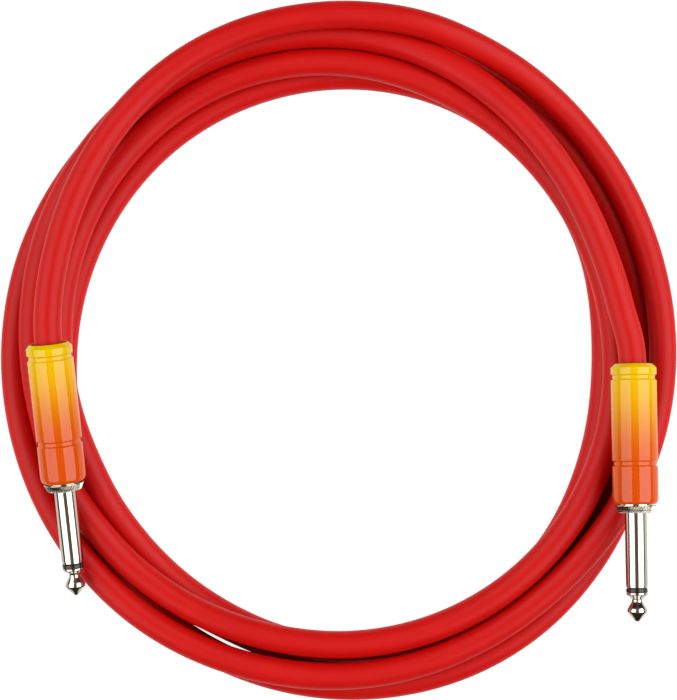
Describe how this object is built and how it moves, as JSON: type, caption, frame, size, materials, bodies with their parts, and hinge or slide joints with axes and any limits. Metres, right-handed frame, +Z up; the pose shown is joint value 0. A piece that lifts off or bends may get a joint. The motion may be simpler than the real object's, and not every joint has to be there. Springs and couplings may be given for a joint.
{
  "type": "instrument cable",
  "caption": "Coiled instrument cable with a red jacket and a straight 6.35 mm jack plug at each end, whose lacquered barrels unscrew.",
  "frame": {"origin": "the middle of the coil, on the surface that it lies on", "axes": "+Z up out of the surface, +Y from the plugs' points towards the cord's ends of the plugs, +X from the pitched plug towards the level one"},
  "size_m": [0.1998, 0.206, 0.0336],
  "materials": {
    "jacket": "satin flexible PVC, red",
    "lacquer": "high gloss lacquer that runs from yellow at the cord's end to red-orange at the front",
    "nickel": "polished nickel plate on brass",
    "insulator": "black moulded plastic",
    "fibre": "brown phenolic board",
    "tinned": "tin plated stamped sheet",
    "clear": "clear plastic tube",
    "dielectric": "off-white polyethylene",
    "copper": "bare stranded copper"
  },
  "bodies": {
    "cable": {"cable_coil": "jacket", "cable_lead_left": "jacket", "cable_lead_right": "jacket", "ground_sleeve_left": "nickel", "ground_sleeve_right": "nickel", "tip_contact_left": "nickel", "tip_contact_right": "nickel", "ring_insulator_left": "insulator", "ring_insulator_right": "insulator", "rear_washer_left": "fibre", "rear_washer_right": "fibre", "tip_terminal_left": "tinned", "tip_terminal_right": "tinned", "cable_clamp_left": "tinned", "cable_clamp_right": "tinned", "core_insulation_left": "dielectric", "core_insulation_right": "dielectric", "core_conductor_left": "copper", "core_conductor_right": "copper", "shield_pigtail_left": "copper", "shield_pigtail_right": "copper"},
    "tube_left": {"insulating_tube_left": "clear"},
    "tube_right": {"insulating_tube_right": "clear"},
    "barrel_left": {"barrel_left": "lacquer"},
    "barrel_right": {"barrel_right": "lacquer"}
  },
  "joints": [
    {"name": "barrel_left_travel", "type": "slide", "parent": "cable", "child": "tube_left", "axis": [-0.095, 0.9869, 0.1305], "range_m": [0, 0.00525]},
    {"name": "barrel_left_unscrew", "type": "hinge", "parent": "tube_left", "child": "barrel_left", "pos_m": [-0.0835, 0.002, 0.0272], "axis": [-0.095, 0.9869, 0.1305], "range_deg": [0, 2520]},
    {"name": "barrel_right_travel", "type": "slide", "parent": "cable", "child": "tube_right", "axis": [-0.0105, 0.9991, -0.0401], "range_m": [0, 0.00525]},
    {"name": "barrel_right_unscrew", "type": "hinge", "parent": "tube_right", "child": "barrel_right", "pos_m": [0.0855, -0.004, 0.02195], "axis": [-0.0105, 0.9991, -0.0401], "range_deg": [0, 2520]}
  ],
  "couplings": [
    {"joint": "barrel_left_travel", "follows": "barrel_left_unscrew", "m_per_rad": 0.00011937},
    {"joint": "barrel_right_travel", "follows": "barrel_right_unscrew", "m_per_rad": 0.00011937}
  ]
}
